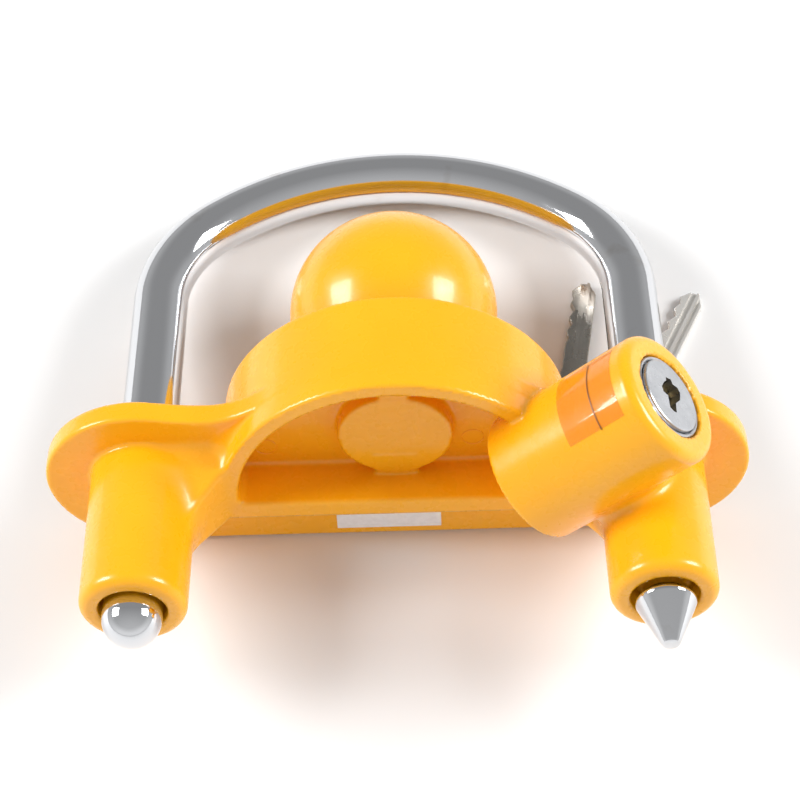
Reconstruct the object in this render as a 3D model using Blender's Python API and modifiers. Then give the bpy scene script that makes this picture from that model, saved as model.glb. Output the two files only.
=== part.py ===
"""Coupler lock: a cast body that carries a dummy tow ball, a chromed U-shackle in two bores, and a wafer
cylinder that drives a bolt into the shackle. The body lies tilted, on its flange edge and the shackle crest."""

import math

import bmesh
import bpy
import numpy as np
from mathutils import Matrix, Vector

MM = 0.001

# The lock frame has the shackle legs along Y, X across them and Z square to the plane of the shackle.
TILT = math.radians(10.885)  # lean of the lock frame when the lock lies on a table
FLANGE_BOTTOM = (0.0, -39.05, -23.1)  # centre of the flange's flat lower face, the world origin

ROD_R = 6.35
LEG_X = 55.0
CREST_Y = 50.1
CREST_ARC_R = 68.7
CORNER_R = 32.6
LEFT_TIP_Y = -78.6  # centre of the domed end
RIGHT_CONE_BASE_Y = -79.0
RIGHT_CONE_END_Y = -88.6
RIGHT_CONE_END_R = 1.9
NOTCH_PITCH = 6.6
NOTCH_COUNT = 7
NOTCH_DEPTH = 1.9
NOTCH_HALF = 2.6

PLATE_FRONT_Y = -41.7
PLATE_BACK_Y = -36.4
EAR_X = 55.4
EAR_Z = -1.7
EAR_R = 21.4
DIP_X = 43.0
DIP_Z = 27.8
DIP_R = 10.6

ARCH_Z = -4.0
ARCH_OUT_R = 38.5
ARCH_IN_R = 34.7
RIM_FRONT_Y = -47.0
LIP_BACK_Y = -22.0
RIB_LOW_Z = -9.2
RIB_TOP_Z = -4.1
WEB_FRONT_Y = -35.7
WEB_BACK_Y = -31.0
DISC_Z = 9.0
DISC_R = 12.5
DISC_FRONT_Y = -39.7

BOSS_R = 11.3
BOSS_END_Y = -77.2
BOSS_EDGE_R = 3.0
BORE_R = 7.2

BALL = (0.0, -4.0, 9.0)
BALL_R = 23.45
NECK_R = 12.7
SPIGOT_R = 6.0

AXIS_PITCH = math.radians(47.2)  # turn about Y that lays the cylinder's axis over
HOUSING_R = 14.5
HOUSING_FACE = 22.4  # along the axis, from the point nearest the right leg
HOUSING_END = -15.3
HOUSING_EDGE_R = 3.6
HOUSING_FOOT = (40.16, -49.0, 16.09)
HOUSING_BORE_R = 9.5
HOUSING_BORE_END = -6.0
LEG_OFFSET = 21.86  # from the cylinder's axis to the right leg's axis
CROSS_HOLE_R = 3.4

SHELL_R = 9.3
SHELL_BORE_R = 6.1
SHELL_BACK = 8.0
SHELL_FACE = 21.9
SHELL_SEAT_R = 8.4
PLUG_R = 5.9
PLUG_HEAD_R = 8.2
PLUG_HEAD_BACK = 21.0
PLUG_FACE = 22.5
PLUG_END = 6.3
KEYWAY_TURN = math.radians(16.0)
KEYWAY_LONG = 8.4
KEYWAY_WIDE = 2.2
WAFER_COUNT = 6
WAFER_TOP = 19.2
WAFER_PITCH = 1.95
WAFER_THICK = 1.2
WAFER_WIDE = 6.4
WAFER_R = 5.75
SLOT_THICK = 1.5
SLOT_WIDE = 6.8
CRANK_R = 1.556
CRANK_PIN_R = 1.2

BOLT_NOSE_R = 3.2
BOLT_TIP_U = 15.1
BOLT_STROKE = 2.2

ROUND = 48


def clear_scene():
    for item in list(bpy.data.objects):
        bpy.data.objects.remove(item, do_unlink=True)
    for group in list(bpy.data.collections):
        bpy.data.collections.remove(group)


def new_collection(name, parent):
    group = bpy.data.collections.new(name)
    parent.children.link(group)
    return group


def material(name, colour, roughness, metallic, alpha=1.0):
    made = bpy.data.materials.new(name)
    made.use_nodes = True
    shader = made.node_tree.nodes["Principled BSDF"]
    shader.inputs["Base Color"].default_value = (*colour, 1.0)
    shader.inputs["Roughness"].default_value = roughness
    shader.inputs["Metallic"].default_value = metallic
    shader.inputs["Alpha"].default_value = alpha
    made.diffuse_color = (*colour, alpha)
    return made


def empty(name, group, parent=None, location=(0, 0, 0), rotation=(0, 0, 0)):
    made = bpy.data.objects.new(name, None)
    made.empty_display_size = 0.01
    group.objects.link(made)
    made.parent = parent
    made.location = Vector(location) * MM
    made.rotation_euler = rotation
    return made


def mesh_object(name, verts, faces, group, parent, skin=None, origin=(0, 0, 0), rotation=(0, 0, 0)):
    """An object whose vertices, in millimetres of the parent's frame, are stored relative to its origin."""
    data = bpy.data.meshes.new(name)
    shift = Vector(origin)
    back = Matrix.Rotation(-rotation[2], 3, "Z") if rotation[2] else Matrix.Identity(3)
    data.from_pydata([back @ (Vector(v) - shift) * MM for v in verts], [], faces)
    work = bmesh.new()
    work.from_mesh(data)
    bmesh.ops.remove_doubles(work, verts=work.verts, dist=1e-6)
    bmesh.ops.recalc_face_normals(work, faces=work.faces)
    work.to_mesh(data)
    work.free()
    made = bpy.data.objects.new(name, data)
    group.objects.link(made)
    made.parent = parent
    made.location = shift * MM
    made.rotation_euler = rotation
    if skin:
        data.materials.append(skin)
    return made


def prism(outline, low, high, frame):
    """Verts and faces of a closed outline (a, b) pushed along the frame's third axis from low to high."""
    count = len(outline)
    verts = [frame(a, b, low) for a, b in outline] + [frame(a, b, high) for a, b in outline]
    faces = [tuple(range(count)), tuple(range(2 * count - 1, count - 1, -1))]
    for i in range(count):
        j = (i + 1) % count
        faces.append((i, j, j + count, i + count))
    return verts, faces


def along_y(a, b, h):
    return (a, h, b)


def along_z(a, b, h):
    return (a, b, h)


def turned(profile, frame, steps=ROUND, centre=(0.0, 0.0), phase=0.0):
    """Verts and faces of a profile of (radius, height) swung round the frame's third axis; radius 0 is a pole."""
    verts = []
    rings = []
    for radius, height in profile:
        if radius <= 1e-9:
            rings.append([len(verts)])
            verts.append(frame(centre[0], centre[1], height))
            continue
        rings.append(list(range(len(verts), len(verts) + steps)))
        for i in range(steps):
            angle = phase + 2 * math.pi * i / steps
            a = centre[0] + radius * math.cos(angle)
            b = centre[1] + radius * math.sin(angle)
            verts.append(frame(a, b, height))
    faces = []
    closed = profile[0][0] > 1e-9
    pairs = list(zip(rings, rings[1:]))
    if closed:
        pairs.append((rings[-1], rings[0]))
    for low, high in pairs:
        for i in range(steps):
            j = (i + 1) % steps
            if len(low) == 1:
                faces.append((low[0], high[j], high[i]))
            elif len(high) == 1:
                faces.append((low[i], low[j], high[0]))
            else:
                faces.append((low[i], low[j], high[j], high[i]))
    return verts, faces


def box(x0, x1, y0, y1, z0, z1):
    return prism([(x0, y0), (x1, y0), (x1, y1), (x0, y1)], z0, z1, along_z)


def arc(centre, radius, start, end, steps):
    """Points on an arc, angles in degrees."""
    points = []
    for i in range(steps + 1):
        angle = math.radians(start + (end - start) * i / steps)
        points.append((centre[0] + radius * math.cos(angle), centre[1] + radius * math.sin(angle)))
    return points


def boolean(obj, other, operation):
    step = obj.modifiers.new(operation.lower() + "_" + other.name, "BOOLEAN")
    step.operation = operation
    step.solver = "EXACT"
    step.object = other
    return step


def bevel(obj, width, segments=2, angle=35):
    step = obj.modifiers.new("edge", "BEVEL")
    step.width = width * MM
    step.segments = segments
    step.limit_method = "ANGLE"
    step.angle_limit = math.radians(angle)
    return step


clear_scene()
scene_group = bpy.context.scene.collection
LOCK = new_collection("coupler_lock", scene_group)
TOOLS = new_collection("coupler_lock_cutters", scene_group)
TOOLS.hide_render = True

YELLOW = material("yellow_powder_coat", (0.95, 0.47, 0.03), 0.28, 0.0)
CHROME = material("chrome_plate", (0.83, 0.84, 0.86), 0.08, 1.0)
ZINC = material("satin_zinc", (0.66, 0.67, 0.69), 0.32, 1.0)
BRASS = material("brass_wafer", (0.72, 0.55, 0.25), 0.35, 1.0)
STEEL = material("plain_steel", (0.50, 0.51, 0.53), 0.38, 1.0)
SPRING = material("spring_steel", (0.42, 0.43, 0.45), 0.35, 1.0)
NICKEL = material("nickel_key", (0.70, 0.68, 0.64), 0.25, 1.0)
PAPER = material("white_label", (0.86, 0.86, 0.85), 0.5, 0.0)
FILM = material("clear_film", (0.92, 0.90, 0.86), 0.06, 0.0, 0.25)

tilt_matrix = Matrix.Rotation(-TILT, 3, "X")
frame_at = tilt_matrix @ (-Vector(FLANGE_BOTTOM))
LOCK_FRAME = empty("lock_frame", LOCK, None, frame_at, (-TILT, 0, 0))
BORE_AXIS = empty("cylinder_axis", LOCK, LOCK_FRAME, HOUSING_FOOT, (0, AXIS_PITCH, 0))
LEG_AXIS = empty("shackle_axis", LOCK, LOCK_FRAME, (0, 0, 0))


def tool(name, shape, parent):
    made = mesh_object("cut_" + name, *shape, TOOLS, parent)
    made.display_type = "WIRE"
    made.hide_render = True
    return made


# Body casting: flange with two ears, the arched rim and its floor, two bosses and the cylinder housing.
def plate_outline():
    right = arc((EAR_X, EAR_Z), EAR_R, -90, 112.8, 34)
    right += arc((DIP_X, DIP_Z), DIP_R, -67.2, -148, 9)[1:]
    right += [(27.5, 21.5), (20.0, 15.0)]
    left = [(-x, z) for x, z in reversed(right)]
    return right + left


def arch_outline(radius, low, steps=40):
    reach = math.degrees(math.asin((low - ARCH_Z) / radius))
    return arc((0, ARCH_Z), radius, reach, 180 - reach, steps)


def gusset(side):
    """The web that braces the arch against a boss: widest at the flange, cut back on a slope at the front."""
    points = [
        (33.0, -39.0, RIB_LOW_Z),
        (33.0, RIM_FRONT_Y, RIB_LOW_Z),
        (37.0, -48.0, RIB_LOW_Z),
        (45.0, -57.0, RIB_LOW_Z),
        (52.0, -63.0, RIB_LOW_Z + 2),
        (54.0, -39.0, RIB_LOW_Z),
        (35.0, -39.0, 10.0),
        (37.3, RIM_FRONT_Y, 2.5),
        (41.5, -53.0, 2.0),
        (48.0, -60.5, 4.5),
        (52.0, -66.0, 7.5),
        (53.0, -39.0, 10.5),
        (43.0, -39.0, 9.0),
    ]
    work = bmesh.new()
    for x, y, z in points:
        work.verts.new((side * x, y, z))
    bmesh.ops.convex_hull(work, input=work.verts)
    work.verts.index_update()
    kept = [v for v in work.verts if v.link_faces]
    place = {v.index: i for i, v in enumerate(kept)}
    verts = [tuple(v.co) for v in kept]
    faces = [tuple(place[v.index] for v in f.verts) for f in work.faces]
    work.free()
    return verts, faces


def boss(side):
    profile = [(0.0, PLATE_FRONT_Y + 2.0), (BOSS_R, PLATE_FRONT_Y + 2.0)]
    for r, h in arc((BOSS_R - BOSS_EDGE_R, BOSS_END_Y + BOSS_EDGE_R), BOSS_EDGE_R, 0, -90, 5):
        profile.append((r, h))
    profile.append((0.0, BOSS_END_Y))
    return turned(profile, along_y, ROUND, (side * LEG_X, 0.0))


def housing():
    profile = [(0.0, HOUSING_END), (HOUSING_R, HOUSING_END)]
    for r, h in arc((HOUSING_R - HOUSING_EDGE_R, HOUSING_FACE - HOUSING_EDGE_R), HOUSING_EDGE_R, 0, 90, 6):
        profile.append((r, h))
    profile.append((0.0, HOUSING_FACE))
    return turned(profile, along_z, ROUND, (0.0, 0.0), 0.057)


body = mesh_object("body_casting", *prism(plate_outline(), PLATE_FRONT_Y, PLATE_BACK_Y, along_y), LOCK,
                   LOCK_FRAME, YELLOW)
d_solid = tool("arch_solid", prism(arch_outline(ARCH_OUT_R, RIB_LOW_Z), RIM_FRONT_Y, LIP_BACK_Y, along_y),
               LOCK_FRAME)
boolean(body, d_solid, "UNION")
front_pocket = tool("front_pocket", prism(arch_outline(ARCH_IN_R, RIB_TOP_Z), -60.0, WEB_FRONT_Y, along_y),
                    LOCK_FRAME)
boolean(body, front_pocket, "DIFFERENCE")
back_outline = arch_outline(ARCH_IN_R, ARCH_Z - 0.05) + [(-ARCH_IN_R, -15.0), (ARCH_IN_R, -15.0)]
back_pocket = tool("back_pocket", prism(back_outline, WEB_BACK_Y, -15.0, along_y), LOCK_FRAME)
boolean(body, back_pocket, "DIFFERENCE")
disc = tool("disc", turned([(0, -33.0), (DISC_R, -33.0), (DISC_R, DISC_FRONT_Y + 0.6),
                            (DISC_R - 0.6, DISC_FRONT_Y), (0, DISC_FRONT_Y)], along_y, ROUND, (0, DISC_Z)),
            LOCK_FRAME)
boolean(body, disc, "UNION")
boolean(body, tool("disc_foot", box(-4.9, 4.7, DISC_FRONT_Y + 0.2, -33.0, -6.0, 2.0), LOCK_FRAME), "UNION")
boolean(body, tool("disc_head", box(-2.9, 2.9, DISC_FRONT_Y + 1.2, -33.0, 18.0, 32.0), LOCK_FRAME), "UNION")
for side, word in ((-1, "left"), (1, "right")):
    boolean(body, tool("gusset_" + word, gusset(side), LOCK_FRAME), "UNION")
    boolean(body, tool("boss_" + word, boss(side), LOCK_FRAME), "UNION")
boolean(body, tool("housing", housing(), BORE_AXIS), "UNION")
for side, word in ((-1, "left"), (1, "right")):
    bore = turned([(0, -90.0), (BORE_R, -90.0), (BORE_R, -30.0), (0, -30.0)], along_y, ROUND, (side * LEG_X, 0), 0.043)
    boolean(body, tool("bore_" + word, bore, LOCK_FRAME), "DIFFERENCE")
cylinder_bore = turned([(0, HOUSING_BORE_END), (HOUSING_BORE_R, HOUSING_BORE_END), (HOUSING_BORE_R, 30.0),
                        (0, 30.0)], along_z, ROUND, (0.0, 0.0), 0.021)
boolean(body, tool("cylinder_bore", cylinder_bore, BORE_AXIS), "DIFFERENCE")


def along_u(a, b, h):
    return (h, a, b)


cross_hole = turned([(0, 4.0), (CROSS_HOLE_R, 4.0), (CROSS_HOLE_R, 40.0), (0, 40.0)], along_u, 32,
                    (0.0, 0.0), 0.037)
boolean(body, tool("cross_hole", cross_hole, BORE_AXIS), "DIFFERENCE")


def along_v(a, b, h):
    return (a, h, b)


PIN_Z = 14.0
PIN_R = 1.25
pin_hole = turned([(0, 8.0), (PIN_R + 0.08, 8.0), (PIN_R + 0.08, 20.0), (0, 20.0)], along_v, 20, (0, PIN_Z))
boolean(body, tool("pin_hole", pin_hole, BORE_AXIS), "DIFFERENCE")
spigot_hole = turned([(0, -37.4), (SPIGOT_R + 0.1, -37.4), (SPIGOT_R + 0.1, -25.0), (0, -25.0)], along_y, 32,
                     (0, DISC_Z))
boolean(body, tool("spigot_hole", spigot_hole, LOCK_FRAME), "DIFFERENCE")

# Dummy tow ball: a ball, its neck and a spigot pressed into the casting's floor.
ball_profile = [(0.0, -37.2), (SPIGOT_R, -37.2), (SPIGOT_R, WEB_BACK_Y + 0.1), (NECK_R, WEB_BACK_Y + 0.1)]
neck_angle = math.degrees(math.acos(NECK_R / BALL_R))
for i in range(17):
    angle = math.radians(-neck_angle + (90 + neck_angle) * i / 16)
    ball_profile.append((BALL_R * math.cos(angle), BALL[1] + BALL_R * math.sin(angle)))
ball_profile[-1] = (0.0, BALL[1] + BALL_R)
mesh_object("coupler_ball", *turned(ball_profile, along_y, ROUND, (BALL[0], BALL[2])), LOCK, LOCK_FRAME, YELLOW,
            BALL)


# Shackle: one bent bar with a domed left end, and a coned right end with ring notches.
def shackle_shape(steps=28):
    corner_x = LEG_X - CORNER_R
    big_y = CREST_Y - CREST_ARC_R
    corner_y = big_y + math.sqrt((CREST_ARC_R - CORNER_R) ** 2 - corner_x ** 2)
    join = math.degrees(math.atan2(corner_y - big_y, corner_x))
    stations = []
    for i in range(7):
        angle = math.radians(90 - 15 * i)
        y = LEFT_TIP_Y - ROD_R * math.sin(angle)
        stations.append(((-LEG_X, y), (0.0, 1.0), max(ROD_R * math.cos(angle), 0.0)))
    stations.append(((-LEG_X, corner_y - 0.5), (0.0, 1.0), ROD_R))
    for x, y, a in ring_path((-corner_x, corner_y), CORNER_R, 180, 180 - join, 12):
        stations.append(((x, y), a, ROD_R))
    for x, y, a in ring_path((0, big_y), CREST_ARC_R, 180 - join, join, 18)[1:]:
        stations.append(((x, y), a, ROD_R))
    for x, y, a in ring_path((corner_x, corner_y), CORNER_R, join, 0, 12)[1:]:
        stations.append(((x, y), a, ROD_R))
    down = (0.0, -1.0)
    first = HOUSING_FOOT[1] - 4 * NOTCH_PITCH + (NOTCH_COUNT - 1) * NOTCH_PITCH
    for i in range(NOTCH_COUNT):
        y = first - i * NOTCH_PITCH
        low = ROD_R - NOTCH_DEPTH
        flat = NOTCH_HALF - NOTCH_DEPTH
        for dy, r in ((NOTCH_HALF, ROD_R), (flat, low), (-flat, low), (-NOTCH_HALF, ROD_R)):
            stations.append(((LEG_X, y + dy), down, r))
    stations.append(((LEG_X, RIGHT_CONE_BASE_Y), down, ROD_R))
    stations.append(((LEG_X, RIGHT_CONE_END_Y + 0.4), down, RIGHT_CONE_END_R))
    stations.append(((LEG_X, RIGHT_CONE_END_Y), down, RIGHT_CONE_END_R - 0.6))
    stations.append(((LEG_X, RIGHT_CONE_END_Y), down, 0.0))
    verts, rings = [], []
    for (x, y), (tx, ty), r in stations:
        if r < 1e-6:
            rings.append([len(verts)])
            verts.append((x, y, 0.0))
            continue
        rings.append(list(range(len(verts), len(verts) + steps)))
        for i in range(steps):
            angle = 2 * math.pi * i / steps
            side = r * math.cos(angle)
            verts.append((x - ty * side, y + tx * side, r * math.sin(angle)))
    faces = []
    for low, high in zip(rings, rings[1:]):
        for i in range(steps):
            j = (i + 1) % steps
            if len(low) == 1:
                faces.append((low[0], high[j], high[i]))
            elif len(high) == 1:
                faces.append((low[i], low[j], high[0]))
            else:
                faces.append((low[i], low[j], high[j], high[i]))
    return verts, faces


def ring_path(centre, radius, start, end, steps):
    """Points along an arc run clockwise, each with its unit direction of travel."""
    found = []
    for i in range(steps + 1):
        angle = math.radians(start + (end - start) * i / steps)
        x = centre[0] + radius * math.cos(angle)
        y = centre[1] + radius * math.sin(angle)
        found.append((x, y, (math.sin(angle), -math.cos(angle))))
    return found


mesh_object("shackle", *shackle_shape(), LOCK, LEG_AXIS, CHROME)

# Lock cylinder: shell, plug, wafers, clip and crank, all round the cylinder's axis.
shell_profile = [(SHELL_R, SHELL_BACK), (SHELL_R, SHELL_FACE - 0.4), (SHELL_R - 0.4, SHELL_FACE),
                 (SHELL_SEAT_R, SHELL_FACE), (SHELL_SEAT_R, PLUG_HEAD_BACK - 0.2),
                 (SHELL_BORE_R, PLUG_HEAD_BACK - 0.2), (SHELL_BORE_R, SHELL_BACK)]
shell = mesh_object("cylinder_shell", *turned(shell_profile, along_z, ROUND), LOCK, BORE_AXIS, ZINC)
for i, word in enumerate(("keyed", "crossed")):
    groove = tool("groove_" + word, box(-3.45, 3.45, -7.3, 7.3, SHELL_BACK - 1.0, 20.2), BORE_AXIS)
    groove.rotation_euler = (0, 0, KEYWAY_TURN + i * math.pi / 2)
    boolean(shell, groove, "DIFFERENCE")
shell_pin = turned([(0, 7.9), (PIN_R + 0.08, 7.9), (PIN_R + 0.08, 12.0), (0, 12.0)], along_v, 20, (0, PIN_Z))
boolean(shell, tool("shell_pin_hole", shell_pin, BORE_AXIS), "DIFFERENCE")

GROOVE_R = 4.7
plug_profile = [(0.0, PLUG_END), (GROOVE_R + 0.6, PLUG_END), (GROOVE_R + 0.6, 6.9), (GROOVE_R, 6.9),
                (GROOVE_R, 7.7), (PLUG_R, 7.7), (PLUG_R, PLUG_HEAD_BACK), (PLUG_HEAD_R, PLUG_HEAD_BACK),
                (PLUG_HEAD_R, PLUG_FACE - 0.3), (PLUG_HEAD_R - 0.3, PLUG_FACE), (0.0, PLUG_FACE)]
plug = mesh_object("lock_plug", *turned(plug_profile, along_z, ROUND), LOCK, BORE_AXIS, ZINC,
                   rotation=(0, 0, KEYWAY_TURN))
half_long = KEYWAY_LONG / 2
half_wide = KEYWAY_WIDE / 2
keyway_outline = [(-half_wide, -half_long), (0.5, -half_long), (half_wide, -half_long + 1.1),
                  (half_wide, -0.6), (half_wide + 0.5, 0.2), (half_wide + 0.5, half_long - 1.0),
                  (half_wide - 0.3, half_long), (-0.6, half_long), (-half_wide + 0.3, half_long - 1.3),
                  (-half_wide + 0.3, 0.8), (-half_wide - 0.3, -0.2)]
keyway = tool("keyway", prism(keyway_outline, 8.2, 30.0, along_z), BORE_AXIS)
keyway.rotation_euler = (0, 0, KEYWAY_TURN)
boolean(plug, keyway, "DIFFERENCE")


def wafer_outline(radius, half, shift=0.0):
    reach = math.degrees(math.asin(half / radius))
    top = arc((0, shift), radius, 90 - reach, 90 + reach, 8)
    low = arc((0, shift), radius, 270 - reach, 270 + reach, 8)
    return top + low


wafer_z = [WAFER_TOP - WAFER_PITCH * i for i in range(WAFER_COUNT)]
for i, z in enumerate(wafer_z):
    half = SLOT_THICK / 2
    slot = tool("wafer_slot_" + str(i + 1), box(-SLOT_WIDE / 2, SLOT_WIDE / 2, -7.0, 7.0, z - half, z + half),
                BORE_AXIS)
    slot.rotation_euler = (0, 0, KEYWAY_TURN)
    boolean(plug, slot, "DIFFERENCE")
window_low = (-3.05, -2.75, -3.2, -2.9, -2.6, -3.1)
for i, z in enumerate(wafer_z):
    outer = wafer_outline(WAFER_R, WAFER_WIDE / 2)
    wafer = mesh_object("wafer_" + str(i + 1), *prism(outer, z - WAFER_THICK / 2, z + WAFER_THICK / 2, along_z),
                        LOCK, BORE_AXIS, BRASS)
    wafer.rotation_euler = (0, 0, KEYWAY_TURN)
    low = window_low[i]
    window = tool("window_" + str(i + 1), box(-1.35, 1.35, low, low + 6.1, z - 2, z + 2), BORE_AXIS)
    window.rotation_euler = (0, 0, KEYWAY_TURN)
    boolean(wafer, window, "DIFFERENCE")

clip_points = arc((0, 0), 7.3, -150, 150, 30) + arc((0, 0), 4.85, 150, -150, 24)
mesh_object("plug_clip", *prism(clip_points, 7.05, 7.55, along_z), LOCK, BORE_AXIS, SPRING)

crank_centre = (CRANK_R * math.cos(math.radians(135)), CRANK_R * math.sin(math.radians(135)))
crank_profile = [(0.0, 4.5), (5.2, 4.5), (5.2, 6.1), (0.0, 6.1)]
crank = mesh_object("crank_disc", *turned(crank_profile, along_z, 40), LOCK, BORE_AXIS, STEEL)
pin_shape = turned([(0.0, -3.4), (CRANK_PIN_R - 0.3, -3.4), (CRANK_PIN_R, -3.1), (CRANK_PIN_R, 5.0), (0.0, 5.0)],
                   along_z, 20, crank_centre)
boolean(crank, tool("crank_pin", pin_shape, BORE_AXIS), "UNION")

# Latch bolt: a block that the crank pin drives through a slot, with a coned nose that meets the shackle.
bolt = mesh_object("latch_bolt", *box(-7.2, 6.0, -4.2, 4.2, -4.0, 4.0), LOCK, BORE_AXIS, STEEL)
nose_cone = BOLT_NOSE_R - 0.55
nose = turned([(0, 3.0), (BOLT_NOSE_R, 3.0), (BOLT_NOSE_R, BOLT_TIP_U - nose_cone), (0.55, BOLT_TIP_U),
               (0, BOLT_TIP_U)], along_u, 28)
boolean(bolt, tool("bolt_nose", nose, BORE_AXIS), "UNION")
slot_outline = arc((-1.1, 1.7), 1.4, 0, 180, 8) + arc((-1.1, 1.0), 1.4, 180, 360, 8)
boolean(bolt, tool("bolt_slot", prism(slot_outline, -10.0, 10.0, along_z), BORE_AXIS), "DIFFERENCE")
pocket = turned([(0, -20.0), (2.4, -20.0), (2.4, -3.3), (0, -3.3)], along_u, 24)
boolean(bolt, tool("spring_pocket", pocket, BORE_AXIS), "DIFFERENCE")


def coil(radius, wire, low, high, turns, frame, around=8, per_turn=14):
    """A coil spring along the frame's third axis, its ends capped."""
    count = int(turns * per_turn)
    verts, faces = [], []
    rise = (high - low - 2 * wire) / count
    for i in range(count + 1):
        angle = 2 * math.pi * i / per_turn
        out = np.array([math.cos(angle), math.sin(angle), 0.0])
        middle = radius * out + np.array([0, 0, low + wire + rise * i])
        for k in range(around):
            turn = 2 * math.pi * k / around
            point = middle + wire * (math.cos(turn) * out + math.sin(turn) * np.array([0, 0, 1.0]))
            verts.append(frame(*[float(v) for v in point]))
    for i in range(count):
        for k in range(around):
            a, b = i * around + k, i * around + (k + 1) % around
            faces.append((a, b, b + around, a + around))
    faces.append(tuple(range(around)))
    faces.append(tuple(count * around + k for k in range(around)))
    return verts, faces


mesh_object("bolt_spring", *coil(1.9, 0.3, -9.2, -3.4, 5, along_u), LOCK, BORE_AXIS, SPRING)

retainer = [(0, 8.1), (PIN_R - 0.2, 8.1), (PIN_R, 8.4), (PIN_R, 14.0), (PIN_R - 0.2, 14.2), (0, 14.2)]
mesh_object("retaining_pin", *turned(retainer, along_v, 20, (0, PIN_Z)), LOCK, BORE_AXIS, STEEL)
blank_r = CROSS_HOLE_R - 0.06
blank = [(0, 29.6), (blank_r - 0.3, 29.6), (blank_r, 29.9), (blank_r, 32.2), (blank_r - 0.3, 32.5), (0, 32.5)]
mesh_object("cross_hole_plug", *turned(blank, along_u, 28), LOCK, BORE_AXIS, YELLOW)

# Stickers.
LABEL_X0, LABEL_X1, LABEL_Z0, LABEL_Z1 = -14.0, 9.4, -20.4, -10.6
label = box(LABEL_X0, LABEL_X1, PLATE_FRONT_Y - 0.22, PLATE_FRONT_Y - 0.05, LABEL_Z0, LABEL_Z1)
mesh_object("number_label", *label, LOCK, LOCK_FRAME, PAPER)
FILM_FROM, FILM_TO = 4.3, 18.3
FILM_ARC = (152.0, 220.0)
film_outline = arc((0, 0), HOUSING_R + 0.22, *FILM_ARC, 14) + arc((0, 0), HOUSING_R + 0.06, *FILM_ARC[::-1], 14)
mesh_object("inspection_film", *prism(film_outline, FILM_FROM, FILM_TO, along_z), LOCK, BORE_AXIS, FILM)


# Keys: two loose flat keys on the table behind the right leg.
KEY_THICK = 2.2
TABLE_Z = (tilt_matrix @ (Vector((0, PLATE_BACK_Y, FLANGE_BOTTOM[2])) - Vector(FLANGE_BOTTOM))).z
EDGE_Y = (tilt_matrix @ (Vector((0, PLATE_BACK_Y, FLANGE_BOTTOM[2])) - Vector(FLANGE_BOTTOM))).y


def key_outline():
    """A flat key, tip along +Y, its bow centred on the origin."""
    bow = arc((0, 0), 7.8, -245, 65, 28)
    blade = [(2.9, 8.2), (2.9, 12.0), (2.9, 30.0), (1.0, 33.2), (-0.6, 33.2), (-2.9, 30.4), (-2.2, 28.6),
             (-2.9, 26.8), (-1.8, 25.0), (-2.8, 22.8), (-2.0, 21.0), (-2.9, 19.0), (-2.4, 17.0), (-2.9, 15.0),
             (-2.9, 8.2)]
    return bow + blade


for name, x, along, turn in (("key_1", 40.4, 27.2, -9.9), ("key_2", 57.2, 26.6, -27.2)):
    spot = Vector((x, EDGE_Y + along, TABLE_Z))
    key = mesh_object(name, *prism(key_outline(), 0.0, KEY_THICK, along_z), LOCK, None, NICKEL)
    key.location = spot * MM
    key.rotation_euler = (0, 0, math.radians(turn))
    hole = tool(name + "_hole", turned([(0, -1.0), (2.1, -1.0), (2.1, 4.0), (0, 4.0)], along_z, 24, (0, -3.9)), None)
    mill = tool(name + "_mill", box(-0.9, 0.5, 12.0, 40.0, KEY_THICK - 0.6, 4.0), None)
    for item in (hole, mill):
        item.location = key.location
        item.rotation_euler = key.rotation_euler
        boolean(key, item, "DIFFERENCE")
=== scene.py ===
"""Looks of the coupler lock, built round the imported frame."""

import math

import bmesh
import bpy
import numpy as np
from mathutils import Matrix, Vector


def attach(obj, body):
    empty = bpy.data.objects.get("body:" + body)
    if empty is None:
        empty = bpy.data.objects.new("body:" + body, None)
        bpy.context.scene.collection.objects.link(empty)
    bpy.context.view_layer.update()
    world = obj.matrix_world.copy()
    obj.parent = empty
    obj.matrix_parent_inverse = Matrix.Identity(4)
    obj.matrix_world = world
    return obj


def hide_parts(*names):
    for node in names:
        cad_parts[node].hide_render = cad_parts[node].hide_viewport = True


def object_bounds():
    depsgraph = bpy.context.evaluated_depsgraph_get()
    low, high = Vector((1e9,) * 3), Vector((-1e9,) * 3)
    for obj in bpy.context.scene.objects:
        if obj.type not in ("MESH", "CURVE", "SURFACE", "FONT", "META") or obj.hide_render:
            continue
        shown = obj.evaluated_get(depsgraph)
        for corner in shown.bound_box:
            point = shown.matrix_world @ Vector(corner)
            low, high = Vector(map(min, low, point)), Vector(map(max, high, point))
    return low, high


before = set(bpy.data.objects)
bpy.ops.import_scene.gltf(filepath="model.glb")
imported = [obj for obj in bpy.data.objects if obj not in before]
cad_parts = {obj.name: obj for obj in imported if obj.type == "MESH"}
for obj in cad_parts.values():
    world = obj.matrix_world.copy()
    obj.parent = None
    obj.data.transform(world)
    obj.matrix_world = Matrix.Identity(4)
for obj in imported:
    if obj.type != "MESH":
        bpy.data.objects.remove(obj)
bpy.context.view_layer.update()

MM = 0.001
TILT = math.radians(10.885)
FLANGE_BOTTOM = np.array([0.0, -39.05, -23.1])
LEAN = np.array([
    [1, 0, 0],
    [0, math.cos(TILT), math.sin(TILT)],
    [0, -math.sin(TILT), math.cos(TILT)],
])

# The cylinder's frame: U towards the right leg, V along the legs, N out of the lock face.
AXIS_PITCH = math.radians(47.2)
FOOT = np.array([40.16, -49.0, 16.09])
AXIS_U = np.array([math.cos(AXIS_PITCH), 0.0, -math.sin(AXIS_PITCH)])
AXIS_V = np.array([0.0, 1.0, 0.0])
AXIS_N = np.array([math.sin(AXIS_PITCH), 0.0, math.cos(AXIS_PITCH)])

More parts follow.
